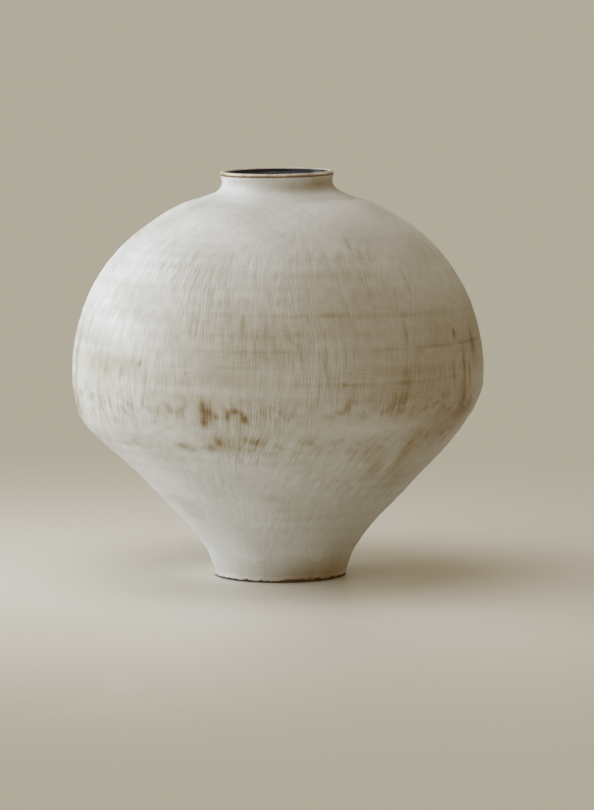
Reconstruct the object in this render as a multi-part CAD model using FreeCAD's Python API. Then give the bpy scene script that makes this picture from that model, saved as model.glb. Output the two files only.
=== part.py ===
import FreeCAD, Part
import math
import os
from collections import namedtuple

Vector = FreeCAD.Vector

# A large stoneware moon jar, as its potter puts it together.
#
# Two bowls are thrown apart. The lower one stands on a foot ring, the upper one is turned over onto
# it, and a short neck is thrown onto the opening. Each joint is scored as a V groove with a matching
# V tongue, and a ring of wet luting slip holds it. A coil of clay is pressed into the inside of the
# waist joint, flush with the wall. White slip is brushed on outside in three passes, the crown of the
# lip gets a band of its own, and a dark glaze is poured through the mouth and lines the inside.
#
# The origin is where the jar's axis meets the surface it stands on, and +Z is up. Lengths are in
# millimetres and angles in degrees.

# Clay body, outside sizes without the slip
foot_radius = 64.9
belly_radius = 204.0
belly_height = 200.2
throat_radius = 54.0
throat_height = 393.4
lip_radius = 55.5
lip_rise = 9.9

# Foot ring and floor
foot_ring_width = 13.0
foot_ring_height = 11.0
foot_edge_radius = 1.2
foot_ring_swell = 1.2
foot_recess_depth = 13.4
floor_thickness = 10.0

# Wall thickness of the clay, square to its outside
wall_at_flare = 12.0
wall_at_cone = 10.0
wall_at_waist = 9.0
wall_at_belly = 8.5
wall_at_shoulder = 7.0
wall_at_neck_root = 9.0
wall_at_throat = 4.6
lip_wall = 3.6

# Neck and mouth
neck_seam_drop = 3.4
mouth_land_length = 11.0
mouth_land_top_drop = 5.7

# Joints between the thrown members
luting_thickness = 0.8
seam_coil_depth = 4.5

# Slip and glaze
slip_thickness = 1.0
glaze_thickness = 0.8
bare_foot_height = 2.6
bare_arris_height = 1.0

# How far the cutting shapes reach past the clay
overrun = 20.0

# The outside of the lower bowl: shares of the way out from the foot to the belly, and of the way up
# from the floor to the belly
lower_outline_shares = {
    "flare": (0.131, 0.211),
    "cone": (0.450, 0.4535),
    "cone_top": (0.6985, 0.6245),
    "waist_low": (0.837, 0.7275),
    "waist_seam": (0.943, 0.831),
}

# The outside of the upper bowl: shares of the way out from the throat to the belly, and of the way
# up from the belly to the throat
upper_outline_shares = {
    "upper": (0.9387, 0.324),
    "shoulder": (0.7447, 0.603),
    "shoulder_top": (0.2827, 0.8794),
    "neck_root": (0.0333, 0.9534),
}

# Which way the outside runs at each of those places, in degrees from level
outline_angles = {
    "flare": 51.5,
    "cone": 47.5,
    "cone_top": 44.1,
    "waist_low": 49.9,
    "waist_seam": 65.2,
    "upper": 107.7,
    "shoulder": 128.4,
    "shoulder_top": 154.6,
    "neck_root": 143.2,
}

# Which way it runs at the other places
foot_angle = 88.0
bare_foot_angle = 84.0
foot_seam_angle = 75.0
belly_angle = 90.0
throat_angle = 90.0
lip_under_angle = 77.0
arris_angle = 79.0
inward_angle = 180.0
lip_band_end_angle = 235.0
down_angle = 270.0
floor_edge_angle = 190.0

# Small places along the lip and the floor, as shares of the sizes that carry them
lip_under_rise_share = 0.36
lip_under_spread_share = 0.2
lip_crown_share = 0.5
floor_edge_radius_share = 0.6
floor_edge_rise_share = 0.3

# The V groove and tongue at a joint, as shares of the clay's width there
groove_half_width_share = 0.2
groove_depth_share = 0.22

Station = namedtuple("Station", "radius height angle")


def point(station):
    """The station's place on the half section, which lies in the plane through X and Z."""
    return Vector(station.radius, 0, station.height)


def heading(angle):
    """The way the outline runs at this angle from level."""
    turn = math.radians(angle)
    return Vector(math.cos(turn), 0, math.sin(turn))


def face_direction(angle):
    """The way the clay's bare face looks, square to the outline."""
    turn = math.radians(angle)
    return Vector(math.sin(turn), 0, -math.cos(turn))


def raised(station, distance):
    """The station moved out from the clay's face, or into the clay where distance is negative."""
    place = point(station) + face_direction(station.angle) * distance
    return Station(place.x, place.z, station.angle)


def through_wall(station, wall):
    """The station on the far face of the wall, where the outline runs the other way."""
    inside = raised(station, -wall)
    return Station(inside.radius, inside.height, station.angle + inward_angle)


def level_wall(station, wall):
    """How wide the wall is along a level cut at the station."""
    return wall / math.sin(math.radians(station.angle))


def arc_from(start, start_heading, end):
    """One arc that leaves start along start_heading and reaches end, or a line if that is straight."""
    chord = end - start
    along = chord / chord.Length
    turn = math.atan2(start_heading.x * along.z - start_heading.z * along.x, start_heading.dot(along))
    bulge = chord.Length / 2 * math.tan(turn / 2)
    side = Vector(along.z, 0, -along.x)
    middle = start + chord / 2 + side * bulge
    if abs(bulge) < Part.Precision.confusion():
        return Part.LineSegment(start, end).toShape()
    return Part.Arc(start, middle, end).toShape()


def two_arcs(first, last):
    """Two arcs in one smooth run between two stations, or one line where both run along it."""
    start = point(first)
    end = point(last)
    start_heading = heading(first.angle)
    end_heading = heading(last.angle)
    chord = end - start
    aside = max(chord.cross(start_heading).Length, chord.cross(end_heading).Length)
    if aside < Part.Precision.confusion():
        return [Part.LineSegment(start, end).toShape()]
    lean = 1 - start_heading.dot(end_heading)
    reach = chord.dot(start_heading + end_heading)
    if lean < Part.Precision.confusion():
        handle = chord.dot(chord) / (4 * chord.dot(end_heading))
    else:
        root = math.sqrt(reach * reach + 2 * lean * chord.dot(chord))
        handle = (root - reach) / (2 * lean)
    meeting = (start + end + (start_heading - end_heading) * handle) / 2
    first_arc = arc_from(start, start_heading, meeting)
    last_arc = arc_from(end, end_heading * -1, meeting)
    return [first_arc, last_arc]


def outline(stations):
    """The smooth run of edges through all the stations."""
    edges = []
    for first, last in zip(stations[:-1], stations[1:]):
        edges.extend(two_arcs(first, last))
    return edges


def straight_edges(points):
    """Straight edges from each point to the next."""
    return [Part.LineSegment(a, b).toShape() for a, b in zip(points[:-1], points[1:])]


def section(edges):
    """The flat face inside a closed run of edges."""
    return Part.Face(Part.Wire(Part.__sortEdges__(edges)))


def turned(face):
    """The solid that a half section makes when it goes once round the jar's axis."""
    return face.revolve(Vector(0, 0, 0), Vector(0, 0, 1), 360)


def outside_stations():
    """The clay's outside from the foot up to the top of the lip, by name."""
    stations = {"foot": Station(foot_radius, 0, foot_angle)}
    swell_share = bare_foot_height / foot_ring_height
    stations["bare_foot"] = Station(foot_radius + foot_ring_swell * swell_share * swell_share,
                                    bare_foot_height, bare_foot_angle)
    stations["foot_seam"] = Station(foot_radius + foot_ring_swell, foot_ring_height, foot_seam_angle)
    for name, (out_share, up_share) in lower_outline_shares.items():
        radius = foot_radius + out_share * (belly_radius - foot_radius)
        stations[name] = Station(radius, up_share * belly_height, outline_angles[name])
    stations["belly"] = Station(belly_radius, belly_height, belly_angle)
    for name, (out_share, up_share) in upper_outline_shares.items():
        radius = throat_radius + out_share * (belly_radius - throat_radius)
        height = belly_height + up_share * (throat_height - belly_height)
        stations[name] = Station(radius, height, outline_angles[name])
    stations["throat"] = Station(throat_radius, throat_height, throat_angle)
    lip_height = throat_height + lip_rise
    lip_spread = lip_radius - throat_radius
    stations["lip_under"] = Station(throat_radius + lip_under_spread_share * lip_spread,
                                    throat_height + lip_under_rise_share * lip_rise, lip_under_angle)
    arris_height = lip_height - lip_wall * lip_crown_share
    stations["arris_low"] = Station(lip_radius - lip_spread * bare_arris_height / lip_rise,
                                    arris_height - bare_arris_height, arris_angle)
    stations["arris_high"] = Station(lip_radius, arris_height, belly_angle)
    stations["lip_top"] = Station(lip_radius - lip_wall * lip_crown_share, lip_height, inward_angle)
    return stations


def inside_stations(outside):
    """The clay's inside from the lip down to the middle of the floor, by name."""
    floor_height = foot_recess_depth + floor_thickness
    lip_height = outside["lip_top"].height
    land_radius = throat_radius - wall_at_throat
    land_top = lip_height - mouth_land_top_drop
    stations = {}
    crown_radius = lip_wall * lip_crown_share
    crown_middle = Station(lip_radius - crown_radius, lip_height - crown_radius, lip_band_end_angle)
    stations["band_end"] = raised(crown_middle, crown_radius)
    stations["lip_inside"] = Station(lip_radius - lip_wall, crown_middle.height, down_angle)
    stations["land_top"] = Station(land_radius, land_top, down_angle)
    stations["land_bottom"] = Station(land_radius, land_top - mouth_land_length, down_angle)
    stations["neck_root_in"] = through_wall(outside["neck_root"], wall_at_neck_root)
    stations["shoulder_top_in"] = through_wall(outside["shoulder_top"], wall_at_shoulder)
    stations["shoulder_in"] = through_wall(outside["shoulder"], wall_at_shoulder)
    stations["upper_in"] = through_wall(outside["upper"], wall_at_belly)
    stations["belly_in"] = through_wall(outside["belly"], wall_at_belly)
    waist_seam = outside["waist_seam"]
    stations["waist_seam_in"] = Station(waist_seam.radius - level_wall(waist_seam, wall_at_waist),
                                        waist_seam.height, waist_seam.angle + inward_angle)
    stations["waist_low_in"] = through_wall(outside["waist_low"], wall_at_waist)
    stations["cone_top_in"] = through_wall(outside["cone_top"], wall_at_cone)
    stations["cone_in"] = through_wall(outside["cone"], wall_at_cone)
    stations["flare_in"] = through_wall(outside["flare"], wall_at_flare)
    floor_edge_rise = floor_edge_rise_share * floor_thickness
    stations["floor_edge"] = Station(floor_edge_radius_share * foot_radius,
                                     floor_height + floor_edge_rise, floor_edge_angle)
    stations["floor_middle"] = Station(0, floor_height, inward_angle)
    return stations


def run_between(stations, first_name, last_name):
    """The stations from one name to another, in order, both included."""
    names = list(stations)
    first = names.index(first_name)
    last = names.index(last_name)
    return [stations[name] for name in names[first:last + 1]]


def clay_section(outside, inside):
    """The half section of all the clay, before the joints divide it."""
    edges = outline(list(outside.values()) + list(inside.values()))
    ring_inside = foot_radius - foot_ring_width
    underside = [
        Vector(0, 0, foot_recess_depth + floor_thickness),
        Vector(0, 0, foot_recess_depth),
        Vector(ring_inside, 0, foot_recess_depth),
        Vector(ring_inside, 0, foot_edge_radius),
    ]
    edges.extend(straight_edges(underside))
    edges.append(arc_from(underside[-1], Vector(0, 0, -1), Vector(ring_inside + foot_edge_radius, 0, 0)))
    edges.extend(straight_edges([Vector(ring_inside + foot_edge_radius, 0, 0), point(outside["foot"])]))
    return section(edges)


def region_below(height, groove_radius, clay_width):
    """Everything under a joint, with the V groove that is scored into it."""
    half_width = clay_width * groove_half_width_share
    depth = clay_width * groove_depth_share
    far = belly_radius + overrun
    corners = [
        Vector(-overrun, 0, -overrun),
        Vector(-overrun, 0, height),
        Vector(groove_radius - half_width, 0, height),
        Vector(groove_radius, 0, height - depth),
        Vector(groove_radius + half_width, 0, height),
        Vector(far, 0, height),
        Vector(far, 0, -overrun),
        Vector(-overrun, 0, -overrun),
    ]
    return section(straight_edges(corners))


def coil_notch(wall_inside):
    """The V that is cut along the inside of a joint for its coil."""
    tip = wall_inside.radius + seam_coil_depth
    reach = seam_coil_depth * 2
    corners = [
        Vector(tip, 0, wall_inside.height),
        Vector(tip - reach, 0, wall_inside.height + reach),
        Vector(tip - reach, 0, wall_inside.height - reach),
        Vector(tip, 0, wall_inside.height),
    ]
    return section(straight_edges(corners))


def part_at_joint(clay, height, groove_radius, clay_width):
    """The clay under a joint, the luting slip in it, and the clay over it."""
    below = region_below(height, groove_radius, clay_width)
    below_and_slip = region_below(height + luting_thickness, groove_radius, clay_width)
    lower = clay.common(below)
    luting = clay.common(below_and_slip.cut(below))
    upper = clay.cut(below_and_slip)
    return lower, luting, upper


def coat_section(stations, thickness):
    """The half section of a coat laid on the clay along a run of stations."""
    raised_stations = [raised(station, thickness) for station in stations]
    edges = outline(stations) + outline(raised_stations)
    for end in (0, -1):
        edges.extend(straight_edges([point(stations[end]), point(raised_stations[end])]))
    return section(edges)


def clay_members(outside, inside):
    """The thrown members, the luting between them and the coil in the waist joint."""
    clay = clay_section(outside, inside)
    waist = outside["waist_seam"]
    waist_in = inside["waist_seam_in"]
    notch = coil_notch(waist_in)
    coil = clay.common(notch)
    clay = clay.cut(notch)

    foot_groove = foot_radius - foot_ring_width / 2
    foot_ring, foot_luting, above_foot = part_at_joint(clay, foot_ring_height, foot_groove, foot_ring_width)

    waist_width = level_wall(waist, wall_at_waist) - seam_coil_depth
    waist_groove = waist.radius - waist_width / 2
    lower_bowl, waist_luting, above_waist = part_at_joint(above_foot, waist.height, waist_groove, waist_width)

    neck_root = outside["neck_root"]
    neck_seam = neck_root.height - neck_seam_drop
    upper_bowl, neck_luting, neck_collar = part_at_joint(above_waist, neck_seam, neck_root.radius,
                                                         wall_at_neck_root)

    return {
        "foot_ring": foot_ring,
        "foot_luting_slip": foot_luting,
        "lower_bowl": lower_bowl,
        "waist_luting_slip": waist_luting,
        "waist_seam_coil": coil,
        "upper_bowl": upper_bowl,
        "neck_luting_slip": neck_luting,
        "neck_collar": neck_collar,
    }


def coats(outside, inside):
    """The slip outside and on the rim, and the glaze inside."""
    lip_band = run_between(outside, "arris_high", "lip_top") + [inside["band_end"]]
    lining = run_between(inside, "band_end", "floor_middle")
    return {
        "lower_slip_coat": coat_section(run_between(outside, "bare_foot", "waist_seam"), slip_thickness),
        "upper_slip_coat": coat_section(run_between(outside, "waist_seam", "neck_root"), slip_thickness),
        "neck_slip_coat": coat_section(run_between(outside, "neck_root", "arris_low"), slip_thickness),
        "lip_slip_band": coat_section(lip_band, slip_thickness),
        "dark_glaze_lining": coat_section(lining, glaze_thickness),
    }


outside = outside_stations()
inside = inside_stations(outside)
sections = clay_members(outside, inside)
sections.update(coats(outside, inside))

os.makedirs("parts", exist_ok=True)
for name, half_section in sections.items():
    turned(half_section).exportStep("parts/" + name + ".step")
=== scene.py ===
# A large stoneware moon jar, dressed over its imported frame: two thrown bowls under brushed slip.
#
# Every piece is drawn upright and true first, in millimetres, and then leans, tilts and settles
# with the whole jar, as the wet clay did. Meshes are in metres. Azimuth 0 faces the jar's front and
# grows towards its right: in degrees in the tables, in radians in the functions. The run is the
# distance along the outside, up from the foot.

import math
from collections import namedtuple

import bpy
import numpy as np
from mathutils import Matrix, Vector


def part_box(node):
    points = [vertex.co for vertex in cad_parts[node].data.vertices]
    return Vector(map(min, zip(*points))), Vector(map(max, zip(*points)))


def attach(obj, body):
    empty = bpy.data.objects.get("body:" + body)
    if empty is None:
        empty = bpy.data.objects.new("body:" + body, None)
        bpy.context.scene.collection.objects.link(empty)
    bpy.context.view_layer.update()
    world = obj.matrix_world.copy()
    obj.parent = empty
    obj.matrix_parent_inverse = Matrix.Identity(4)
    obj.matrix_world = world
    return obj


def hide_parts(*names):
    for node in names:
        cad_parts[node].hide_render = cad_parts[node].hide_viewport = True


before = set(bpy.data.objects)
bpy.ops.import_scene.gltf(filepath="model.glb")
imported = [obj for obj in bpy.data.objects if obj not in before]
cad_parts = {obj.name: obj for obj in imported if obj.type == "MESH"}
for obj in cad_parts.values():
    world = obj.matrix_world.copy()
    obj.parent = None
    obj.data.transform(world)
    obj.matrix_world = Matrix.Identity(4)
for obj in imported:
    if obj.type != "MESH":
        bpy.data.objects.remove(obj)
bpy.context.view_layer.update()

METRE = 1000
TAU = 2 * math.pi


def reach(node):
    """How far out a node of the frame goes from the jar's axis."""
    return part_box(node)[1].x * METRE


def top_of(node):
    """How high a node of the frame goes."""
    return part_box(node)[1].z * METRE


# Sizes that the frame gives
belly_radius = reach("upper_bowl")
ring_radius = reach("foot_ring")
lip_height = top_of("neck_collar")
slip_thickness = reach("upper_slip_coat") - belly_radius
lip_radius = reach("lip_slip_band") - slip_thickness

# Sizes of the clay that its boxes don't give
foot_ring_swell = 1.2
foot_ring_width = 13
foot_ring_height = 11
foot_edge_radius = 1.2
bare_foot_height = 2.6
belly_height = 200.2
throat_radius = 54
throat_height = 393.4
lip_wall = 3.6
bare_arris_height = 1
lip_band_end_angle = 235
foot_radius = ring_radius - foot_ring_swell
girth = TAU * belly_radius

# Angles that the clay's outside runs at, in degrees: 90 is straight up and 0 straight out
foot_angle = 88
bare_foot_angle = 84
foot_seam_angle = 75
lip_under_angle = 77
arris_low_angle = 79

# The lip opens a little over the throat and leans out to its arris
lip_opening = 0.3
lip_under_rise = 3.56
arris_lean = 0.15

# The outside of the clay: out share to the belly from the foot or the throat, up share from the
# floor to the belly or from there to the throat, and the angle it runs at
lower_outline_shares = {
    "flare": (0.131, 0.211, 51.5),
    "cone": (0.450, 0.4535, 47.5),
    "cone_top": (0.6985, 0.6245, 44.6),
    "waist_low": (0.837, 0.7275, 49.4),
    "waist_under": (0.931, 0.815, 58.0),
    "waist_seam": (0.943, 0.831, 65.2),
    "waist_over": (0.9585, 0.860, 71.5),
}
upper_outline_shares = {
    "upper": (0.9387, 0.324, 107.7),
    "shoulder": (0.7447, 0.603, 128.4),
    "shoulder_top": (0.2827, 0.8794, 154.6),
    "neck_root": (0.0333, 0.9534, 143.2),
}

Station = namedtuple("Station", "radius height angle")


def raised(station, distance):
    """The station moved out square to the outline, or in where distance is negative."""
    turn = math.radians(station.angle)
    return Station(station.radius + distance * math.sin(turn),
                   station.height - distance * math.cos(turn), station.angle)


def clay_stations():
    """The clay's outside from the foot to the top of the lip and into the mouth, by name."""
    swell_share = (bare_foot_height / foot_ring_height) ** 2
    stations = {
        "foot": Station(foot_radius, 0, foot_angle),
        "bare_foot": Station(foot_radius + foot_ring_swell * swell_share, bare_foot_height,
                             bare_foot_angle),
        "foot_seam": Station(ring_radius, foot_ring_height, foot_seam_angle),
    }
    for name, (out_share, up_share, angle) in lower_outline_shares.items():
        radius = foot_radius + out_share * (belly_radius - foot_radius)
        stations[name] = Station(radius, up_share * belly_height, angle)
    stations["belly"] = Station(belly_radius, belly_height, 90)
    for name, (out_share, up_share, angle) in upper_outline_shares.items():
        radius = throat_radius + out_share * (belly_radius - throat_radius)
        height = belly_height + up_share * (throat_height - belly_height)
        stations[name] = Station(radius, height, angle)
    crown_radius = lip_wall / 2
    arris_height = lip_height - crown_radius
    crown_middle = Station(lip_radius - crown_radius, arris_height, lip_band_end_angle)
    stations["throat"] = Station(throat_radius, throat_height, 90)
    stations["lip_under"] = Station(throat_radius + lip_opening, throat_height + lip_under_rise,
                                    lip_under_angle)
    stations["arris_low"] = Station(lip_radius - arris_lean, arris_height - bare_arris_height,
                                    arris_low_angle)
    stations["arris_high"] = Station(lip_radius, arris_height, 90)
    stations["lip_top"] = Station(lip_radius - crown_radius, lip_height, 180)
    stations["band_end"] = raised(crown_middle, crown_radius)
    return stations


def between(first, last, shares):
    """Places on the smooth run from one station to the next: a cubic with a round arc's handles."""
    start, end = np.array([first[:2], last[:2]])
    turn = math.radians(abs(last.angle - first.angle))
    chord = np.linalg.norm(end - start)
    handle = chord * 2 / 3 * math.tan(turn / 4) / math.sin(turn / 2)
    leave = math.radians(first.angle)
    arrive = math.radians(last.angle)
    after_start = start + handle * np.array([math.cos(leave), math.sin(leave)])
    before_end = end - handle * np.array([math.cos(arrive), math.sin(arrive)])
    t = shares[:, None]
    return ((1 - t) ** 3 * start + 3 * t * (1 - t) ** 2 * after_start
            + 3 * t ** 2 * (1 - t) * before_end + t ** 3 * end)


class Outline:
    """The smooth run through some stations, looked up by the distance along it."""

    steps = 80

    def __init__(self, stations):
        shares = np.linspace(0, 1, self.steps, endpoint=False)
        names = list(stations)
        legs = [between(stations[a], stations[b], shares) for a, b in zip(names[:-1], names[1:])]
        last = stations[names[-1]]
        places = np.concatenate([*legs, [(last.radius, last.height)]])
        self.radius, self.height = places.T
        self.run = np.concatenate([[0], np.cumsum(np.hypot(*np.diff(places, axis=0).T))])
        self.at = {name: self.run[i * self.steps] for i, name in enumerate(names)}
        out, up = np.gradient(self.radius, self.run), np.gradient(self.height, self.run)
        length = np.hypot(out, up)
        self.square_out, self.square_up = up / length, -out / length

    def place(self, run, rise):
        """Radius and height at a distance along the outline, lifted off it by rise."""
        out = self.radius_at(run) + rise * np.interp(run, self.run, self.square_out)
        up = self.height_at(run) + rise * np.interp(run, self.run, self.square_up)
        return out, up

    def radius_at(self, run):
        """Radius at a distance along the outline."""
        return np.interp(run, self.run, self.radius)

    def height_at(self, run):
        """Height at a distance along the outline."""
        return np.interp(run, self.run, self.height)


clay = clay_stations()
slip_face = Outline({name: raised(station, slip_thickness) for name, station in clay.items()})


# The axis drifts to the jar's right, or to its left where it is below 0: height and drift
drifts = ((0, 2.7), (60, 2), (200, 0), (300, 0.3), (350, 1.4), (380, 1.2), (391, -0.5),
          (404, -0.8))

# The upper bowl was set down askew, so the waist joint climbs to the right
seam_height = 164
seam_climb = 6
seam_reach_down = 34
seam_reach_up = 17

# The lip dips to the left
lip_tilt = math.radians(0.7)
lip_tilt_stretch = (375, 20)


def eased(share):
    """A share from 0 to 1, eased at both ends."""
    held = np.clip(share, 0, 1)
    return held * held * (3 - 2 * held)


def grown(value, start, over):
    """0 up to the start, growing to 1 over the next stretch, or downwards where that is below 0."""
    return eased((value - start) / over)


def near_level(height, level, half_height):
    """1 at a level, falling off above and below it."""
    return np.exp(-((height - level) / half_height) ** 2)


def aside_from(azimuth, middle):
    """How far round the jar an azimuth in radians lies from a middle in degrees, in radians."""
    return (azimuth - math.radians(middle) + math.pi) % TAU - math.pi


def drift(height):
    """How far the jar's middle lies to one side at a height."""
    total = np.full(np.shape(height), drifts[0][1])
    for (low, before), (high, after) in zip(drifts[:-1], drifts[1:]):
        total += (after - before) * grown(height, low, high - low)
    return total


def settled(places):
    """Places of the true jar, in mm, as they lie on the jar that was made."""
    x, y, z = np.moveaxis(places, -1, 0)
    reach_here = np.where(z > seam_height, seam_reach_up, seam_reach_down)
    near_seam = near_level(z, seam_height, reach_here)
    near_lip = grown(z, *lip_tilt_stretch)
    climb = seam_climb * near_seam * x / belly_radius + math.tan(lip_tilt) * near_lip * x
    return np.stack([x + drift(z), y, z + climb], axis=-1)


def turned(azimuth, radius, height):
    """Places at an azimuth, a radius and a height on the true jar."""
    return np.stack([radius * np.sin(azimuth), -radius * np.cos(azimuth),
                     height + np.zeros_like(azimuth)], axis=-1)


# A field of chance waves: its usual strength, its seed, how many waves it is made of, and the
# shortest and the longest wave round the jar and along its outside, in mm
Field = namedtuple("Field", "strength seed number around along")

# What sways or fades the brush strokes and the rib lines
stroke_sway = Field(0.01, 41, 12, (260, 1300), (160, 500))
stroke_patches = Field(0.26, 42, 24, (70, 320), (60, 260))
rib_line_sway = Field(0.7, 31, 10, (150, 600), (300, 900))
rib_line_fading = Field(0.4, 32, 12, (60, 360), (200, 600))

# The relief of the slip's face, in mm
swells = Field(0.3, 11, 24, (140, 700), (60, 220))
throwing_rings = Field(0.07, 12, 24, (400, 1300), (11, 26))
brush_ridges = Field(0.05, 13, 40, (6.5, 13), (60, 200))
pats = Field(0.05, 14, 40, (14, 40), (14, 40))
joint_lumps = Field(0.15, 15, 24, (18, 110), (16, 60))

# How the slip's thinness changes
broad_clouds = Field(0.045, 21, 30, (90, 420), (60, 260))
small_clouds = Field(0.014, 25, 40, (16, 60), (12, 45))
dry_streaks = Field(0.022, 22, 40, (9, 34), (60, 260))
wheel_bands = Field(0.016, 24, 30, (250, 1300), (12, 30))
joint_wear = Field(0.08, 23, 40, (9, 60), (9, 50))

# The bare clay of the foot and the edges of the slip, in mm
foot_roughness = Field(0.16, 61, 40, (5, 40), (4, 20))
foot_edge_sway = Field(0.3, 71, 30, (14, 60), (100, 200))
foot_edge_nicks = Field(0.16, 72, 30, (5, 14), (100, 200))
neck_edge_sway = Field(0.16, 73, 30, (8, 60), (100, 200))
lip_edge_sway = Field(0.18, 81, 30, (8, 50), (100, 200))
lip_wobble = Field(0.07, 82, 30, (8, 60), (6, 20))


def waves(field, azimuth, run):
    """The field's smooth chance waves at some places of the outside."""
    draw = np.random.default_rng(field.seed)
    total = np.zeros(np.broadcast(azimuth, run).shape)
    for _ in range(field.number):
        times = round(girth / math.exp(draw.uniform(*np.log(field.around)))) * draw.choice((-1, 1))
        length = math.exp(draw.uniform(*np.log(field.along)))
        total += np.cos(times * azimuth + TAU * run / length + draw.uniform(0, TAU))
    return field.strength * (total * math.sqrt(2 / field.number))


# Brush strokes lean to the left on their way down, in radians per mm: over the upper bowl mostly on
# the jar's right, and all round the lower bowl
upper_lean = 0.0003
upper_lean_right = 0.0012
upper_lean_side = (0.45, 0.35)
lower_lean = 0.0016
lower_lean_swing = 0.001


def stroke_angle(azimuth, run):
    """Which brush stroke passes through a place: the azimuth where it crosses the waist joint."""
    to_right = np.sin(azimuth)
    above_seam = run - slip_face.at["waist_seam"]
    upper = upper_lean + upper_lean_right * grown(to_right, *upper_lean_side)
    lower = lower_lean + lower_lean_swing * to_right
    lean = np.where(above_seam > 0, upper, lower) * above_seam
    return azimuth - lean + waves(stroke_sway, azimuth, run)


# Lines that the thrower's rib left round the jar: height at the front, how far it climbs to the
# right, depth, half width, and the azimuth where it is plainest
rib_lines = (
    (301, -3, 0.06, 2, -60),
    (276, -4, 0.15, 2, 6),
    (257, -3, 0.05, 1.8, -20),
    (242.3, 0, 0.21, 1.6, 58),
    (226.8, -1, 0.08, 1.8, -4),
    (210.6, 0, 0.14, 1.6, 30),
    (198, -4, 0.04, 1.8, 70),
)

# How far the lines' fadings lie apart in their chance field, in mm, their usual and greatest
# strength, how much it swings with the side, and what wear left of them on the far left
rib_line_step = 60
rib_line_usual = 0.7
rib_line_most = 1.2
rib_line_swing = 0.38
rib_line_left_by_wear = 0.25
worn_off_side = (-1, 0.55)


def rib_line_depth(azimuth, run):
    """How deep the rib lines are cut here. Each fades in and out on its way round the jar."""
    height = slip_face.height_at(run)
    sway = waves(rib_line_sway, azimuth, run)
    unworn = grown(np.sin(azimuth), *worn_off_side)
    left_by_wear = rib_line_left_by_wear + (1 - rib_line_left_by_wear) * unworn
    total = np.zeros(height.shape)
    for index, (front_height, climb, depth, half_width, plainest) in enumerate(rib_lines):
        level = np.full(height.shape, rib_line_step * index)
        strength = rib_line_usual + waves(rib_line_fading, azimuth, level)
        middle = front_height + climb * np.sin(azimuth) + sway
        side = np.cos(2 * (azimuth - math.radians(plainest)))
        swing = 1 - rib_line_swing + rib_line_swing * side
        strength = np.clip(strength, 0, rib_line_most) * swing
        total += depth * strength * near_level(height, middle, half_width)
    return total * left_by_wear


# Where a wet finger wiped thicker slip over the waist joint: azimuth and half width in radians
wiped_azimuth = 25
wiped_half_turn = 0.26


def near_wiped_place(azimuth):
    """1 where the joint was wiped, falling off to both sides."""
    return np.exp(-(aside_from(azimuth, wiped_azimuth) / wiped_half_turn) ** 2)


def near_place(azimuth, height, radius, place):
    """1 in the middle of a place, falling off to its sides.

    The place gives an azimuth, a height, a half width and a half height."""
    middle, level, half_width, half_height = place
    aside = aside_from(azimuth, middle) * radius
    return np.exp(-(aside / half_width) ** 2 - ((height - level) / half_height) ** 2)


# Places where the brush's strokes are crispest: azimuth, height, half width, half height, and how
# much is added
crisp_places = (
    (-34, 313, 32, 17, 0.6),
    (-17, 311, 26, 17, 0.35),
    (-43, 262, 30, 18, 0.3),
    (27, 327, 26, 16, 0.4),
    (-45, 184, 45, 10, 0.7),
    (-4, 178, 48, 13, 0.45),
    (36, 187, 26, 12, 0.6),
    (-8, 151, 60, 9, 0.25),
)


# Where the strokes grow or soften, each as a stretch: its start and its length, in mm up the jar or
# in the sine of the azimuth. A negative length runs down or to the left.
strokes_from_foot = (5, 95)
strokes_from_neck = (380, -58)
above_joint_stretch = (140, 30)
shoulder_stretch = (235, 40)
side_stretch = (0.1, 0.6)
shoulder_side_stretch = (0.1, 0.5)

# How much softer or crisper the strokes are there, as a share
usual_strokes = 0.78
softer_over_joint = 0.25
softer_where_wiped = 0.5
softer_on_shoulder = 0.35
softer_on_right = 0.32
softer_left_of_belly = 0.08
softer_left_of_cone = 0.36
crisper_on_cone = 0.3

# The ridge of the waist joint: its height and half height, for the strokes and for the wiped slip
ridge_under_strokes = (166, 9)
ridge_under_wiping = (166, 8)


def combing(azimuth, run):
    """How strongly the brush's strokes show: about 1 over the belly, 0 at both ends, in patches."""
    height = slip_face.height_at(run)
    radius = slip_face.radius_at(run)
    to_right = np.sin(azimuth)
    above_joint = grown(height, *above_joint_stretch)
    on_cone = 1 - above_joint
    on_right = grown(to_right, *side_stretch)
    on_left = grown(-to_right, *side_stretch)
    right_of_shoulder = grown(height, *shoulder_stretch) * grown(to_right, *shoulder_side_stretch)
    belly_part = grown(height, *strokes_from_foot) * grown(height, *strokes_from_neck)
    wiped = softer_over_joint + softer_where_wiped * near_wiped_place(azimuth)
    over_joint = 1 - wiped * near_level(height, *ridge_under_strokes)
    on_shoulder = 1 - softer_on_shoulder * right_of_shoulder
    softer_on_left = softer_left_of_belly * above_joint + softer_left_of_cone * on_cone
    at_sides = 1 - softer_on_right * on_right * above_joint - softer_on_left * on_left
    on_front_of_cone = 1 + crisper_on_cone * on_cone * (1 - on_left)
    patches = np.clip(usual_strokes + waves(stroke_patches, azimuth, run), 0, 1)
    strength = belly_part * over_joint * on_shoulder * at_sides * on_front_of_cone * patches
    for *place, added in crisp_places:
        strength = strength + added * near_place(azimuth, height, radius, place)
    return strength


# How far from the foot and the lip the relief fades out, how far from the shoulder it gets neater
# and by what share, how deep and how high it may go, and the roll over the waist joint, in mm
relief_fades_at_foot = 12
relief_fades_at_lip = 14
neater_neck_stretch = 20
neater_at_neck = 0.6
relief_deepest = -0.35
relief_highest = 1.2
joint_half_width = 9
joint_roll = 0.05


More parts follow.
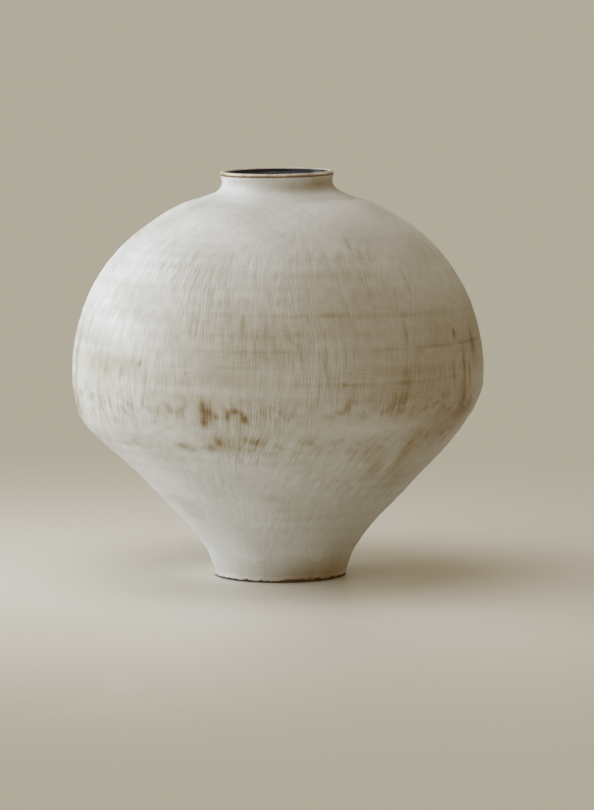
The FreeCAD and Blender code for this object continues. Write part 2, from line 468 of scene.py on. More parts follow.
def slip_relief(azimuth, run):
    """How far the slip's face stands off its true outline, from swells down to brush ridges."""
    worked = waves(swells, azimuth, run) + waves(throwing_rings, azimuth, run)
    worked += waves(brush_ridges, stroke_angle(azimuth, run), run) * combing(azimuth, run)
    worked += waves(pats, azimuth, run)
    neater = 1 - neater_at_neck * grown(run, slip_face.at["shoulder_top"], neater_neck_stretch)
    on_joint = near_level(run, slip_face.at["waist_seam"], joint_half_width)
    joint = on_joint * (joint_roll + waves(joint_lumps, azimuth, run))
    relief = worked * neater - rib_line_depth(azimuth, run) + joint
    from_foot = grown(run, slip_face.at["bare_foot"], relief_fades_at_foot)
    from_lip = grown(run, slip_face.at["arris_low"], -relief_fades_at_lip)
    return np.clip(relief * from_foot * from_lip, relief_deepest, relief_highest)


# Places where the slip is thin and the brown clay shows: azimuth, height, half width, half height
# and strength, below 0 where the slip is thicker. Each is broken up by the brush.
thin_places = (
    (-21, 189.5, 1.8, 7.5, 0.34),
    (-18.9, 183, 1.8, 9, 0.3),
    (-20.2, 184, 5, 11, 0.36),
    (-20.3, 184, 10, 15, 0.1),
    (-21, 176, 3, 4.5, 0.38),
    (-13.8, 181, 2.2, 4.5, 0.58),
    (-11.6, 185.5, 4.2, 2.2, 0.4),
    (-9.9, 183.2, 2.2, 2.4, 0.34),
    (-11.6, 182, 9, 8, 0.1),
    (-9.2, 179, 2.6, 4, 0.56),
    (-17.2, 180, 2, 2.4, 0.3),
    (-26.5, 186, 2.2, 14, 0.2),
    (-31, 185, 2, 5, 0.16),
    (-34, 184, 9, 6, 0.12),
    (-45, 184, 10, 6, 0.11),
    (-43.4, 188, 2, 4, 0.16),
    (-39, 179, 3.2, 2.4, 0.14),
    (-34.8, 184, 2, 3, 0.12),
    (-32.6, 177.5, 2.8, 3.2, 0.15),
    (-36.5, 174, 2.4, 2, 0.16),
    (-35.5, 164, 7, 2.4, 0.14),
    (-31.6, 169.5, 5, 2.2, 0.14),
    (-23.5, 165, 6, 2, 0.12),
    (-52, 148.5, 16, 3, 0.1),
    (-58, 187, 2.2, 9, 0.24),
    (-62, 189, 2.2, 7, 0.2),
    (-53, 186, 2.2, 7, 0.15),
    (-76, 222, 7, 34, 0.22),
    (-58, 268, 46, 15, -0.02),
    (-41, 227, 2, 2.6, 0.34),
    (-44, 227, 14, 10, 0.12),
    (-25.5, 221, 1.8, 1.8, 0.32),
    (-16, 222, 22, 7, 0.12),
    (-28.6, 150, 9, 5.5, 0.34),
    (-17.6, 156.5, 3.4, 5.5, 0.34),
    (-17, 153, 13, 8, 0.14),
    (-21.2, 149, 6, 4.5, 0.24),
    (-9.4, 158, 3.6, 3.4, 0.24),
    (-6.8, 155.5, 5.4, 3.6, 0.32),
    (-8, 152, 14, 8, 0.1),
    (-12, 153, 26, 9, 0.08),
    (0, 162, 16, 9, 0.1),
    (8.6, 154, 8, 6, 0.22),
    (29, 116, 16, 14, 0.1),
    (52, 161, 30, 10, 0.2),
    (63, 166, 30, 12, 0.16),
    (24, 183.5, 1.5, 1.5, 0.4),
    (19.5, 190, 4, 16, 0.12),
    (34.5, 190, 12, 12, 0.2),
    (37, 181, 12, 5, 0.1),
    (44, 180, 14, 10, 0.14),
    (54, 179, 17, 11, 0.22),
    (63, 190, 7.5, 18, 0.4),
    (66, 172, 16, 12, 0.1),
    (69, 178, 8, 10, 0.26),
    (63.5, 222, 2.4, 15, 0.42),
    (67, 208, 2.6, 13, 0.34),
    (59.5, 252, 2.6, 5, 0.44),
    (71, 238, 5, 14, 0.36),
    (57.5, 212, 2.6, 14, 0.26),
    (38.5, 256, 1.4, 10, 0.4),
    (37.5, 210, 6, 12, 0.2),
    (13, 234, 1.2, 16, 0.24),
    (13.6, 216, 1.2, 12, 0.2),
    (18.6, 211, 2.4, 2, 0.18),
    (-3.5, 262, 1.4, 18, 0.14),
    (-10, 268, 1.4, 14, 0.2),
    (35, 122, 9, 14, 0.26),
    (45, 134, 9, 18, 0.24),
    (52, 145, 28, 15, 0.24),
    (63, 146, 20, 18, 0.14),
    (5.6, 259, 3, 2.2, 0.14),
    (5.6, 250, 3, 2.6, 0.14),
    (29, 140, 22, 12, 0.2),
    (27.5, 341, 2, 9, 0.22),
    (30.5, 330, 3, 9, 0.2),
    (45, 303, 2, 12, 0.2),
    (64, 325, 20, 18, 0.11),
    (74, 318, 14, 22, 0.12),
    (28, 338, 40, 20, 0.15),
    (48, 112, 26, 24, 0.15),
    (45, 40, 40, 40, 0.08),
    (-17, 146, 40, 14, 0.1),
    (-3, 92, 18, 4.5, 0.1),
    (2, 80, 22, 4, 0.11),
    (3, 68, 20, 4, 0.1),
    (16, 84, 10, 12, 0.08),
    (20, 2, 46, 12, 0.16),
    (-60, 372, 14, 4, 0.16),
    (50, 393, 20, 7, 0.48),
    (78, 391, 16, 11, 0.38),
    (10, 391, 12, 6, 0.26),
    (30, 389, 14, 5, 0.16),
    (-40, 395, 16, 3, 0.12),
    (8, 4, 8, 5, 0.22),
    (26, 8, 16, 13, 0.16),
    (50, 14, 20, 22, 0.22),
)

# The back carries the same kind of marks, from this azimuth on: their heights, each height's share
# of them, how far they stray from it, and the least and greatest half width, half height and
# strength, with a boost for a few
back_marks_from = 80
back_marks_seed = 47
back_mark_count = 44
back_mark_heights = (149, 183, 214)
back_mark_shares = (0.3, 0.5, 0.2)
back_mark_stray = 7
back_mark_half_widths = (2.2, 13)
back_mark_half_heights = (3, 13)
back_mark_strengths = (0.08, 0.26)
back_mark_boost = 0.12
back_mark_share = 0.5

# Each has touches of the brush in it: how far they stray, and their width, height and strength, as
# shares of the mark's
touches_in_back_mark = 3
touch_stray = 0.7
touch_width, touch_height, touch_strength = 0.35, 0.5, 0.7
radius_at_back_marks = 190
mm_in_degree = math.radians(1) * radius_at_back_marks


def all_thin_places():
    """The places seen from the front, and others of their kind round the back."""
    draw = np.random.default_rng(back_marks_seed)
    places = list(thin_places)
    for _ in range(back_mark_count):
        azimuth = draw.uniform(back_marks_from, 360 - back_marks_from)
        height = draw.choice(back_mark_heights, p=back_mark_shares)
        height += draw.normal(0, back_mark_stray)
        width = math.exp(draw.uniform(*map(math.log, back_mark_half_widths)))
        tall = draw.uniform(*back_mark_half_heights)
        strength = draw.uniform(*back_mark_strengths) + back_mark_boost * draw.random() ** 4
        places.append((azimuth, height, width, tall, back_mark_share * strength))
        for _ in range(touches_in_back_mark):
            aside, up = draw.normal(0, touch_stray, 2)
            places.append((azimuth + aside * width / mm_in_degree, height + up * tall,
                           touch_width * width, touch_height * tall, touch_strength * strength))
    return places


# Hazes of thinner slip: strength, height, half height, and the sine of the azimuth where each sets
# in and the change over which it is full. They lie on the shoulder, belly, left side and front.
hazes = (
    (0.19, 290, 52, -0.8, 0.5),
    (0.12, 215, 50, -0.85, 1),
    (0.17, 208, 55, -0.2, -0.8),
    (0.035, 168, 42, -0.55, 0.3),
)

# Browner stretches on the jar's right: strength, and the stretches up, down and to the right. The
# first lies on the body and is partly thinner slip, partly painted warm shade. The other two, on
# the cone's right, are painted warm bounce light. The last is full down to the sole.
long_hazes_and_painted_light = (
    (0.1, (15, 90), (300, -60), (-0.85, 1)),
    (0.042, (12, 30), (138, -30), (-0.05, 0.6)),
    (0.028, (-30, 30), (138, -30), (-0.05, 0.6)),
)

# How much browner the right side is, partly from thinner worn slip and partly as painted warm
# shade, and the stretches where that grows and ends
worn_and_shaded_right_side = 0.15
worn_and_shaded_side_up = (60, 90)
worn_and_shaded_side_down = (350, -90)

# The slip gives out above the bare foot: strength in front, more on the right, and half height
thin_at_foot = 0.31
thinner_right_of_foot = 0.15
foot_line = (0, 6.5)

# The two belts of thin slip along the waist joint: height and half height, how strong the lower
# is, the least wear in them, and how much thicker a finger left the slip over the joint
upper_belt = (184, 12)
lower_belt = (149, 9)
lower_belt_share = 0.8
least_joint_wear = 0.03
thicker_by_wiping = 0.11

# Thinness all over and in the rib lines, there as a share of their depth, where the wheel's bands
# set in, and how much painted light from the window whitens the left of the cone, and where
least_thinness = 0.09
clay_in_rib_lines = 0.9
wheel_bands_down = (374, -25)
window_light_on_cone = 0.07
lit_cone_down = (100, -50)
lit_cone_side = (0, 0.6)


def haze_and_painted_light(azimuth, height):
    """How much thinner the slip was brushed over whole sides of the jar, with painted warm shade
    and bounce light on the right side worked in.
    """
    to_right = np.sin(azimuth)
    # Painted warm shade, partly worn slip, browns the right side
    total = worn_and_shaded_right_side * np.clip(to_right, 0, 1)
    total = total * grown(height, *worn_and_shaded_side_up) * grown(height, *worn_and_shaded_side_down)
    total += (thin_at_foot + thinner_right_of_foot * to_right) * near_level(height, *foot_line)
    for strength, level, half_height, sets_in, over in hazes:
        total += strength * near_level(height, level, half_height) * grown(to_right, sets_in, over)
    # Painted warm shade and bounce light on the right, partly thinner slip
    for strength, up, down, side in long_hazes_and_painted_light:
        total += strength * grown(height, *up) * grown(height, *down) * grown(to_right, *side)
    return total


def joint_thinness(azimuth, run, height):
    """How much thinner the slip is in the belts along the waist joint, less where it was wiped."""
    belts = near_level(height, *upper_belt) + lower_belt_share * near_level(height, *lower_belt)
    wear = belts * np.clip(least_joint_wear + waves(joint_wear, azimuth, run), 0, 1)
    wiped = near_wiped_place(azimuth) * near_level(height, *ridge_under_wiping)
    return wear - thicker_by_wiping * wiped


def thinness_and_painted_light(azimuth, run):
    """How thin the slip is, from 0 to 1, with painted shade on the right and painted light on the
    cone's left worked in.
    """
    height = slip_face.height_at(run)
    radius = slip_face.radius_at(run)
    total = least_thinness + waves(broad_clouds, azimuth, run) + waves(small_clouds, azimuth, run)
    total += waves(dry_streaks, stroke_angle(azimuth, run), run) * combing(azimuth, run)
    total += waves(wheel_bands, azimuth, run) * grown(height, *wheel_bands_down)
    total += haze_and_painted_light(azimuth, height) + joint_thinness(azimuth, run, height)
    total += clay_in_rib_lines * rib_line_depth(azimuth, run)
    # Painted light: the left of the cone, where the window lights it, is painted whiter
    left_of_cone = grown(height, *lit_cone_down) * grown(-np.sin(azimuth), *lit_cone_side)
    total -= window_light_on_cone * left_of_cone
    for *place, strength in all_thin_places():
        total += strength * near_place(azimuth, height, radius, place)
    return np.clip(total, 0, 1)


# Corners in each ring of a mesh, and the share of a coat's texture that its visible face takes up
around_count = 520
angles = np.arange(around_count) / around_count * TAU
outside_share = 0.92


def placed(name, data):
    """A new object in the scene."""
    thing = bpy.data.objects.new(name, data)
    bpy.context.scene.collection.objects.link(thing)
    return thing


def turned_piece(name, rings, sharp_rings, attributes, share_up):
    """A closed mesh from rings of places, each once round the jar, the last joined to the first.

    share_up says how far up the texture each ring lies, and at last the first one again."""
    count, around = rings.shape[:2]
    vertices = settled(rings).reshape(-1, 3) / METRE
    row = np.arange(count)[:, None] * around
    low = row + np.arange(around)
    side = row + (np.arange(around) + 1) % around
    total = count * around
    faces = np.stack([low, side, (side + around) % total, (low + around) % total], axis=-1)
    mesh = bpy.data.meshes.new(name)
    mesh.from_pydata(vertices.tolist(), [], faces.reshape(-1, 4).tolist())
    across = np.arange(around)[None, :] / around + np.zeros((count, 1))
    after = across + 1 / around
    lower = np.broadcast_to(share_up[:-1, None], across.shape)
    upper = np.broadcast_to(share_up[1:, None], across.shape)
    corners = np.stack([across, lower, after, lower, after, upper, across, upper], axis=-1)
    mesh.uv_layers.new(name="OFBake").data.foreach_set("uv", corners.astype(np.float32).ravel())
    mesh.polygons.foreach_set("use_smooth", np.ones(len(mesh.polygons), bool))
    sharp = {ring * around + i for ring in sharp_rings for i in range(around)}
    for edge in mesh.edges:
        a, b = edge.vertices
        if a in sharp and b in sharp and abs(a - b) in (1, around - 1):
            edge.use_edge_sharp = True
    for attribute, values in attributes.items():
        kind, key = ("FLOAT_VECTOR", "vector") if values.ndim == 3 else ("FLOAT", "value")
        layer = mesh.attributes.new(attribute, kind, "POINT")
        layer.data.foreach_set(key, values.astype(np.float32).ravel())
    mesh.update()
    return placed(name, mesh)


def stands_for(piece, node, finish):
    """The piece takes the node's place on the jar, with a finish of its own."""
    piece.data.materials.clear()
    piece.data.materials.append(finish)
    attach(piece, "root")
    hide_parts(node)


def slip_attributes(azimuth, run):
    """What the slip's material reads: the place along the strokes, thinness with painted shade and
    light in it, and their strength.
    """
    stroke = stroke_angle(azimuth, run)
    brush = np.stack([belly_radius * np.sin(stroke), belly_radius * np.cos(stroke), run], axis=-1)
    return {"brush": brush, "thin_and_painted_light": thinness_and_painted_light(azimuth, run), "combed": combing(azimuth, run)}


# Rings on the hidden side of a coat
under_ring_count = 8


def rings_between(start, end, shares):
    """Azimuth and run of rings round a coat, at some shares of the way between its two edges."""
    run = start + (end - start) * shares[:, None]
    return np.broadcast_to(angles, run.shape), run


def coat(name, start, end, ring_count):
    """A closed coat of slip between two edges along the outline, worked on its outer face."""
    azimuth, run = rings_between(start, end, np.linspace(0, 1, ring_count))
    outer = turned(azimuth, *slip_face.place(run, slip_relief(azimuth, run)))
    under_azimuth, under_run = rings_between(start, end, np.linspace(1, 0, under_ring_count))
    under = turned(under_azimuth, *slip_face.place(under_run, -slip_thickness))
    attributes = slip_attributes(np.concatenate([azimuth, under_azimuth]),
                                 np.concatenate([run, under_run]))
    share_up = np.concatenate([np.linspace(0, outside_share, ring_count),
                               np.linspace(outside_share, 1, under_ring_count + 2)[1:]])
    sharp_rings = (0, ring_count - 1, ring_count, ring_count + under_ring_count - 1)
    return turned_piece(name, np.concatenate([outer, under]), sharp_rings, attributes, share_up)


def ragged(field):
    """How far a brushed edge strays along the outline, once round the jar."""
    return waves(field, angles, np.zeros(around_count))


def settled_copy(node):
    """The node's own shape, leaning and tilting with the rest of the jar."""
    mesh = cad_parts[node].data.copy()
    places = np.empty(len(mesh.vertices) * 3, np.float32)
    mesh.vertices.foreach_get("co", places)
    moved = settled(places.reshape(-1, 3).astype(float) * METRE) / METRE
    mesh.vertices.foreach_set("co", moved.astype(np.float32).ravel())
    mesh.update()
    return placed(node + "_settled", mesh)


def linear(hex_colour):
    """An sRGB hex colour as the linear colour that a shader takes, by the sRGB standard's curve."""
    parts = [int(hex_colour[i:i + 2], 16) / 255 for i in (1, 3, 5)]
    return (*[c / 12.92 if c <= 0.04045 else ((c + 0.055) / 1.055) ** 2.4 for c in parts], 1.0)


def feed(tree, node, inputs):
    """Gives a node's inputs their values, or links them to other nodes' outputs."""
    for socket, value in inputs.items():
        if isinstance(value, bpy.types.NodeSocket):
            tree.links.new(value, node.inputs[socket])
        else:
            node.inputs[socket].default_value = value


def add(tree, kind, inputs=None, stops=None, **settings):
    """Adds a node with its settings, its colour stops and its inputs."""
    node = tree.nodes.new("ShaderNode" + kind)
    for setting, value in settings.items():
        setattr(node, setting, value)
    for index, (position, colour) in enumerate(stops or ()):
        elements = node.color_ramp.elements
        element = elements[index] if index < 2 else elements.new(position)
        element.position = position
        element.color = colour
    feed(tree, node, inputs or {})
    return node


def new_finish(name):
    """An empty material with its principled shader, ready to be dressed."""
    finish = bpy.data.materials.new(name)
    finish.use_nodes = True
    return finish, finish.node_tree, finish.node_tree.nodes["Principled BSDF"]


# Each noise in the slip: its lattice across the strokes and along them, in mm, and its detail. A
# mark is about twice as wide. The finest is drawn a little coarser than real bristles, which a
# picture couldn't hold.
bristle_noise = (1.25, 21, 1.5)
stroke_noise = (3.2, 60, 2)
wheel_line_noise = (18, 1.4, 2)
mottle_noise = (1.1, 1.1, 4)

# How much each tells in what shows of the clay, and what tells besides the strokes in the relief
bristle_weight = 1.35
stroke_weight = 0.3
wheel_line_weight = 0.35
mottle_weight = 0.55
mottle_relief = 0.35
thin_relief = -0.5

# Lattice of each noise in the bare clay, the rim and the glaze, in mm, and how much of the rim's
# slip its edge lost
burnt_patch = 9
grog_grain = 1.4
rim_patch = 14
glaze_pool = 24
lost_at_rim_edge = 0.34

# How deep the finest relief of each finish is, from mm to metres
stroke_depth = 0.42 / METRE
clay_grain_depth = 0.2 / METRE
rim_wave_depth = 0.2 / METRE
glaze_wave_depth = 0.3 / METRE


def brushed_white_slip():
    """White kaolin slip brushed on brown stoneware under a thin dull glaze.

    It looks dry and soft, cool white where it is thick, with fine streaks along the brush, faint
    lines round the wheel, and brown clay grinning through wherever the brush ran dry."""
    finish, tree, shader = new_finish("brushed_white_slip")
    brush = add(tree, "Attribute", attribute_name="brush").outputs["Vector"]
    # The thinness read here carries painted shade on the right and painted light on the cone's left
    # too
    thin_and_painted_light = add(tree, "Attribute", attribute_name="thin_and_painted_light").outputs["Fac"]
    combed = add(tree, "Attribute", attribute_name="combed").outputs["Fac"]

    def noise(across, along, detail):
        scaled = add(tree, "VectorMath", {0: brush, 1: (1 / across, 1 / across, 1 / along)},
                     operation="MULTIPLY").outputs["Vector"]
        grey = add(tree, "TexNoise", {
            "Vector": scaled, "Scale": 1, "Detail": detail, "Roughness": 0.55,
        }).outputs["Fac"]
        return add(tree, "Math", {0: grey, 1: 0.5}, operation="SUBTRACT").outputs[0]

    def weighed(value, weight, onto=0.0):
        return add(tree, "Math", {0: value, 1: weight, 2: onto},
                   operation="MULTIPLY_ADD").outputs[0]

    strokes = weighed(noise(*bristle_noise), bristle_weight)
    strokes = weighed(noise(*stroke_noise), stroke_weight, strokes)
    combed_strokes = weighed(strokes, combed)
    mottle = noise(*mottle_noise)
    weave = weighed(noise(*wheel_line_noise), wheel_line_weight, combed_strokes)
    weave = weighed(mottle, mottle_weight, weave)
    depth = add(tree, "MapRange", {
        "Value": thin_and_painted_light, "From Min": 0.05, "From Max": 0.6, "To Min": 0.36, "To Max": 0.58,
    }).outputs["Result"]
    shows = add(tree, "Math", {0: weave, 1: depth, 2: thin_and_painted_light},
                operation="MULTIPLY_ADD", use_clamp=True).outputs[0]
    colour = add(tree, "ValToRGB", {"Fac": shows}, stops=(
        (0.0, linear("#e9eae9")), (0.2, linear("#dbdbd6")), (0.4, linear("#cbc7b9")),
        (0.6, linear("#baac8f")), (0.8, linear("#a48b65")), (1.0, linear("#836846")),
    )).outputs["Color"]
    roughness = add(tree, "MapRange", {"Value": shows, "To Min": 0.62, "To Max": 0.5})
    height = weighed(mottle, mottle_relief, combed_strokes)
    height = weighed(thin_and_painted_light, thin_relief, height)
    bump = add(tree, "Bump", {"Strength": 0.7, "Distance": stroke_depth, "Height": height})
    feed(tree, shader, {"Base Color": colour, "Roughness": roughness.outputs["Result"],
                        "Normal": bump.outputs["Normal"], "Specular IOR Level": 0.35})
    return finish


def bare_stoneware(name, pale, dark):
    """Iron stoneware fired bare and sponged: dry, speckled with grog, darker where it burnt."""
    finish, tree, shader = new_finish(name)
    place = add(tree, "TexCoord").outputs["Object"]
    burnt = add(tree, "TexNoise", {
        "Vector": place, "Scale": METRE / burnt_patch, "Detail": 4,
    }).outputs["Fac"]
    grog = add(tree, "TexNoise", {
        "Vector": place, "Scale": METRE / grog_grain, "Detail": 2, "Roughness": 0.6,
    }).outputs["Fac"]
    both = add(tree, "Math", {0: burnt, 1: grog}, operation="ADD").outputs[0]
    spread = add(tree, "MapRange", {
        "Value": both, "From Min": 0.75, "From Max": 1.25,
    }).outputs["Result"]
    colour = add(tree, "ValToRGB", {"Fac": spread}, stops=(
        (0.0, linear(dark)), (1.0, linear(pale)))).outputs["Color"]
    bump = add(tree, "Bump", {"Strength": 0.6, "Distance": clay_grain_depth, "Height": both})
    feed(tree, shader, {"Base Color": colour, "Normal": bump.outputs["Normal"],
                        "Roughness": 0.85, "Specular IOR Level": 0.25})
    return finish


def cream_rim_slip():
    """Thicker slip wiped round the rim: warm cream, a little glossier, brown where it wore thin.

    It wore thin in patches and all along the band's lower edge, which the worn attribute tells."""
    finish, tree, shader = new_finish("cream_rim_slip")
    place = add(tree, "TexCoord").outputs["Object"]
    patch = add(tree, "TexNoise", {
        "Vector": place, "Scale": METRE / rim_patch, "Detail": 5, "Roughness": 0.6,
    }).outputs["Fac"]
    worn = add(tree, "Attribute", attribute_name="worn").outputs["Fac"]
    kept = add(tree, "Math", {0: worn, 1: -lost_at_rim_edge, 2: patch},
               operation="MULTIPLY_ADD").outputs[0]
    colour = add(tree, "ValToRGB", {"Fac": kept}, stops=(
        (0.2, linear("#9c7d58")), (0.36, linear("#cbbda6")), (0.6, linear("#e4ddd1")),
    )).outputs["Color"]
    bump = add(tree, "Bump", {"Strength": 0.3, "Distance": rim_wave_depth, "Height": patch})
    feed(tree, shader, {"Base Color": colour, "Normal": bump.outputs["Normal"], "Roughness": 0.42})
    return finish


def dark_iron_glaze():
    """Iron glaze poured over the inside: almost black with a blue cast, glossy, in soft waves."""
    finish, tree, shader = new_finish("dark_iron_glaze")
    place = add(tree, "TexCoord").outputs["Object"]
    pool = add(tree, "TexNoise", {
        "Vector": place, "Scale": METRE / glaze_pool, "Detail": 3,
    }).outputs["Fac"]
    colour = add(tree, "ValToRGB", {"Fac": pool}, stops=(
        (0.3, linear("#0c0c0f")), (0.75, linear("#17171b")))).outputs["Color"]
    bump = add(tree, "Bump", {"Strength": 0.15, "Distance": glaze_wave_depth, "Height": pool})
    feed(tree, shader, {"Base Color": colour, "Normal": bump.outputs["Normal"],
                        "Roughness": 0.24, "Specular IOR Level": 0.32})
    return finish


# The foot ring's V groove and the rings across its sole, as shares of its width, how many rings a
# leg of its outer face and its inner edge have, and how far up its bare first leg is fully rough
groove_half_share = 0.2
groove_depth_share = 0.22
sole_shares = (0.3, 0.5, 0.7, 0.9)
rings_in_leg = 6
rings_in_edge = 5
fully_rough_height = 0.6


def foot_ring_piece(finish):
    """The bare foot ring, with a rough outer edge and a V groove on top for its luting."""
    inner = foot_radius - foot_ring_width
    groove = foot_radius - foot_ring_width / 2
    groove_half = groove_half_share * foot_ring_width
    groove_depth = groove_depth_share * foot_ring_width
    outer = [clay[name] for name in ("foot", "bare_foot", "foot_seam")]
    shares = np.linspace(0, 1, rings_in_leg, endpoint=False)
    face = np.concatenate([between(a, b, shares) for a, b in zip(outer[:-1], outer[1:])])
    top = [(ring_radius, foot_ring_height), (groove + groove_half, foot_ring_height),
           (groove, foot_ring_height - groove_depth), (groove - groove_half, foot_ring_height),
           (inner, foot_ring_height)]
    turn = np.linspace(0, math.pi / 2, rings_in_edge)
    edge = np.stack([inner + foot_edge_radius * (1 - np.cos(turn)),
                     foot_edge_radius * (1 - np.sin(turn))], axis=-1)
    sole = [(inner + (foot_radius - inner) * share, 0.0) for share in sole_shares]
    loop = np.concatenate([face, top, edge, sole])
    radius, height = (np.repeat(column[:, None], around_count, axis=1) for column in loop.T)
    bare = (np.arange(len(loop)) < rings_in_leg)[:, None]
    rough = waves(foot_roughness, angles, height) * bare * eased(height / fully_rough_height)
    corners = (0, *range(len(face), len(face) + len(top)))
    share_up = np.linspace(0, 1, len(loop) + 1)
    rings = turned(angles, radius + rough, height)
    piece = turned_piece("foot_ring_fired", rings, corners, {}, share_up)
    stands_for(piece, "foot_ring", finish)


# Chips out of the slip's edge at the foot: azimuth, depth and half width
foot_chips = (
    (-50, 0.8, 2.5),
    (-31, 1.5, 1.8),
    (-17, 0.6, 1.5),
    (5, 0.7, 2.2),
    (13, 1.1, 12),
    (26, 0.9, 2.4),
    (33, 1, 4),
    (52, 0.8, 3),
)
back_chips_seed = 48
back_chip_count = 16
back_chip_depths = (0.6, 1.8)
back_chip_half_widths = (1.2, 4)

# How high the slip stops over the sole: in the middle, how much more on the right, and at least
foot_edge_height = 2.3
foot_edge_climb = 0.75
foot_edge_least = 0.5


def foot_slip_edge():
    """How far up the slip stops at the foot, once round: lower on the left, and chipped."""
    draw = np.random.default_rng(back_chips_seed)
    chips = list(foot_chips)
    for _ in range(back_chip_count):
        chips.append((draw.uniform(back_marks_from, 360 - back_marks_from),
                      draw.uniform(*back_chip_depths), draw.uniform(*back_chip_half_widths)))
    edge = foot_edge_height + foot_edge_climb * np.sin(angles)
    edge += ragged(foot_edge_sway) + ragged(foot_edge_nicks)
    for middle, depth, half_width in chips:
        edge += depth * np.exp(-(aside_from(angles, middle) * ring_radius / half_width) ** 4)
    return np.maximum(edge, foot_edge_least)


def slip_coats(finish):
    """The three brushed coats, edge to edge, from the bare foot up to the lip's bare arris.

    Each row is a piece, the node it replaces, its lower and upper edge, and its rings."""
    neck_edge = slip_face.at["arris_low"] + ragged(neck_edge_sway)
    seam = np.full(around_count, slip_face.at["waist_seam"])
    neck = np.full(around_count, slip_face.at["neck_root"])
    coats = (
        ("lower_slip", "lower_slip_coat", foot_slip_edge(), seam, 150),
        ("upper_slip", "upper_slip_coat", seam, neck, 180),
        ("neck_slip", "neck_slip_coat", neck, neck_edge, 26),
    )
    for name, node, start, end, ring_count in coats:
        stands_for(coat(name, start, end, ring_count), node, finish)


# How far up from its lower edge the lip's band of slip wore thin and its wobble is full, in mm, the
# rings on its face, and how many of those one ring on its hidden side stands for
lip_wear_reach = 1.6
lip_wobble_reach = 1.5
lip_ring_count = 40
lip_rings_for_one_under = 4


def lip_band_piece(finish):
    """The band of slip wiped over the crown of the lip."""
    names = ("arris_high", "lip_top", "band_end")
    face = Outline({name: raised(clay[name], slip_thickness) for name in names})
    shares = np.linspace(0, 1, lip_ring_count)
    azimuth, run = rings_between(ragged(lip_edge_sway), face.run[-1], shares)
    wobble = waves(lip_wobble, azimuth, run) * eased(run / lip_wobble_reach)
    outer = turned(azimuth, *face.place(np.maximum(run, 0), wobble))
    under_run = run[::-lip_rings_for_one_under]
    under = turned(angles, *face.place(np.maximum(under_run, 0), -slip_thickness))
    rings = np.concatenate([outer, under])
    share_up = np.linspace(0, 1, len(rings) + 1)
    worn = np.concatenate([1 - eased(run / lip_wear_reach), np.zeros(under_run.shape)])
    corners = (0, lip_ring_count - 1, lip_ring_count, len(rings) - 1)
    piece = turned_piece("lip_slip", rings, corners, {"worn": worn}, share_up)
    stands_for(piece, "lip_slip_band", finish)


def dress_the_jar():
    """Every piece of the jar in its finish."""
    clay_finish = bare_stoneware("bare_stoneware", "#76593a", "#3e2f1f")
    # The collar's clay is painted paler than the rest, as painted light on its bare arris in the
    # shade under the lip's crown
    collar_lightened_finish = bare_stoneware("collar_stoneware_lightened", "#ae9676", "#876f52")
    luting_finish = bare_stoneware("luting_clay", "#8f7250", "#5b452f")
    foot_ring_piece(clay_finish)
    slip_coats(brushed_white_slip())
    lip_band_piece(cream_rim_slip())
    for node in ("lower_bowl", "upper_bowl", "waist_seam_coil"):
        stands_for(settled_copy(node), node, clay_finish)
    stands_for(settled_copy("neck_collar"), "neck_collar", collar_lightened_finish)
    for node in ("foot_luting_slip", "waist_luting_slip", "neck_luting_slip"):
        stands_for(settled_copy(node), node, luting_finish)
    glaze = settled_copy("dark_glaze_lining")
    stands_for(glaze, "dark_glaze_lining", dark_iron_glaze())


# Floor and backdrop. The floor fades into the backdrop between two distances, in metres.
backdrop_colour = "#b1ab9c"
floor_colour = "#f0efe9"
floor_radius = 3
floor_corners = 96
floor_clear_from = 0.3
floor_clear_to = 1.15

# The dim warm light that the room sends back from all sides
room_colour = "#ffdc98"
room_strength = 0.29

# Soft lamps, a broad window along the left side and a little light from above: place, width and
# height in metres, power in watts, and colour
lamps = (
    ("window_back", (-2.3, 0.65, 1), (1.4, 1.8), 24, "#e4eeff"),
    ("window_middle", (-2.4, -0.45, 0.9), (1.6, 1.8), 9, "#e4eeff"),
    ("window_front", (-1.9, -1.6, 0.9), (1.6, 1.8), 12.5, "#e9f1ff"),
    ("above", (-0.3, -0.2, 2.3), (1.8, 1.8), 18.5, "#dae9ff"),
)
lamp_aim = (0, 0, 0.2)

# The camera: place in metres, lens and sensor width in mm, how far it sees in metres, and how far
# it is turned down and to the right
camera_place = (0, -4.7643, 0.6986)
camera_lens = 213.33
camera_sensor_width = 36
camera_sight = 50
camera_dip = math.radians(6.331)
camera_turn = math.radians(0.2307)


def backdrop_share(tree):
    """1 for what the camera sees, also by reflection or through glass, 0 for light on the jar."""
    path = add(tree, "LightPath").outputs
    seen = add(tree, "Math", {0: path["Is Camera Ray"], 1: path["Is Glossy Ray"]},
               operation="ADD").outputs[0]
    return add(tree, "Math", {0: seen, 1: path["Is Transmission Ray"]},
               operation="ADD", use_clamp=True).outputs[0]


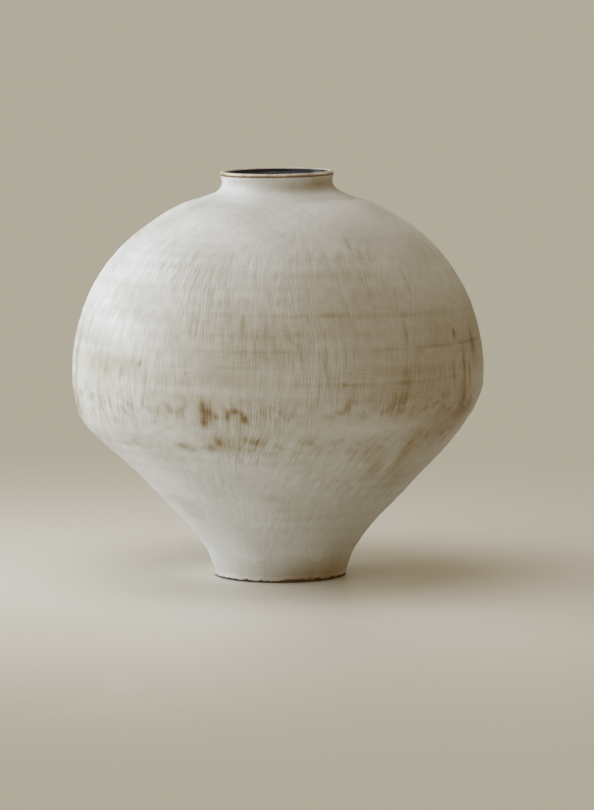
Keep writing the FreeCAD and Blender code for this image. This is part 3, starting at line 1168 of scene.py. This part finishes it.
def pale_floor():
    """A plain pale floor that keeps the jar's shadow and fades into the backdrop."""
    bpy.ops.mesh.primitive_circle_add(vertices=floor_corners, radius=floor_radius, fill_type="NGON")
    floor = bpy.context.object
    floor.name = "floor"
    finish, tree, shader = new_finish("pale_floor")
    feed(tree, shader, {"Base Color": linear(floor_colour), "Roughness": 0.38,
                        "Specular IOR Level": 0.3})
    place = add(tree, "TexCoord").outputs["Object"]
    away = add(tree, "VectorMath", {0: place}, operation="LENGTH").outputs["Value"]
    faded = add(tree, "MapRange", {
        "Value": away, "From Min": floor_clear_from, "From Max": floor_clear_to,
    }, interpolation_type="SMOOTHSTEP").outputs["Result"]
    share = add(tree, "Math", {0: faded, 1: backdrop_share(tree)}, operation="MULTIPLY").outputs[0]
    clear = add(tree, "BsdfTransparent").outputs[0]
    mixed = add(tree, "MixShader", {0: share, 1: shader.outputs[0], 2: clear}).outputs[0]
    tree.links.new(mixed, tree.nodes["Material Output"].inputs["Surface"])
    floor.data.materials.append(finish)


def backdrop():
    """The plain backdrop that the camera sees, and the dim warm room light that reaches the jar."""
    world = bpy.data.worlds.new("studio")
    world.use_nodes = True
    bpy.context.scene.world = world
    tree = world.node_tree
    tree.nodes.clear()
    seen = add(tree, "Background", {"Color": linear(backdrop_colour), "Strength": 1}).outputs[0]
    room = add(tree, "Background", {
        "Color": linear(room_colour), "Strength": room_strength,
    }).outputs[0]
    mixed = add(tree, "MixShader", {0: backdrop_share(tree), 1: room, 2: seen}).outputs[0]
    add(tree, "OutputWorld", {"Surface": mixed})


def soft_light(name, place, size, power, colour):
    """A large soft lamp at a place, turned to the jar."""
    lamp = bpy.data.lights.new(name, "AREA")
    lamp.shape = "RECTANGLE"
    lamp.size, lamp.size_y = size
    lamp.energy = power
    lamp.color = linear(colour)[:3]
    holder = placed(name, lamp)
    holder.location = place
    holder.rotation_euler = (Vector(lamp_aim) - Vector(place)).to_track_quat("-Z", "Y").to_euler()


def camera():
    """The camera at the photograph's viewing angle."""
    data = bpy.data.cameras.new("camera")
    data.lens = camera_lens
    data.sensor_width = camera_sensor_width
    data.clip_end = camera_sight
    holder = placed("camera", data)
    holder.location = camera_place
    holder.rotation_euler = (math.pi / 2 - camera_dip, 0.0, -camera_turn)
    bpy.context.scene.camera = holder


def studio():
    """Floor, backdrop, lights and camera, with colours shown as they are written."""
    pale_floor()
    backdrop()
    for lamp in lamps:
        soft_light(*lamp)
    camera()
    bpy.context.scene.view_settings.view_transform = "Standard"


dress_the_jar()
studio()
